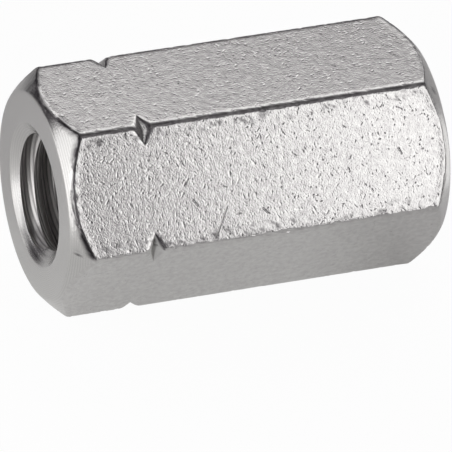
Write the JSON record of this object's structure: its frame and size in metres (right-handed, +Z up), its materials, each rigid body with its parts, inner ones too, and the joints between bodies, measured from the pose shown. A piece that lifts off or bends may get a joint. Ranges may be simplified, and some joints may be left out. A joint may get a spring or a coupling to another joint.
{
  "type": "coupling nut",
  "caption": "Long stainless hexagon nut with a through thread, chamfered and countersunk ends and a marking groove across its corners, for joining two threaded rods end to end.",
  "frame": {"origin": "on the thread axis, halfway along the nut", "axes": "+X along the thread axis from the marked end to the plain end, +Z up with two flats level and the nut lying on one of them"},
  "size_m": [0.024, 0.0148, 0.013],
  "materials": {
    "stainless_steel": "satin: drawn hexagon bar with tumbling dents on its flats and turned ends"
  },
  "bodies": {
    "root": {"coupling_nut": "stainless_steel"}
  },
  "joints": []
}
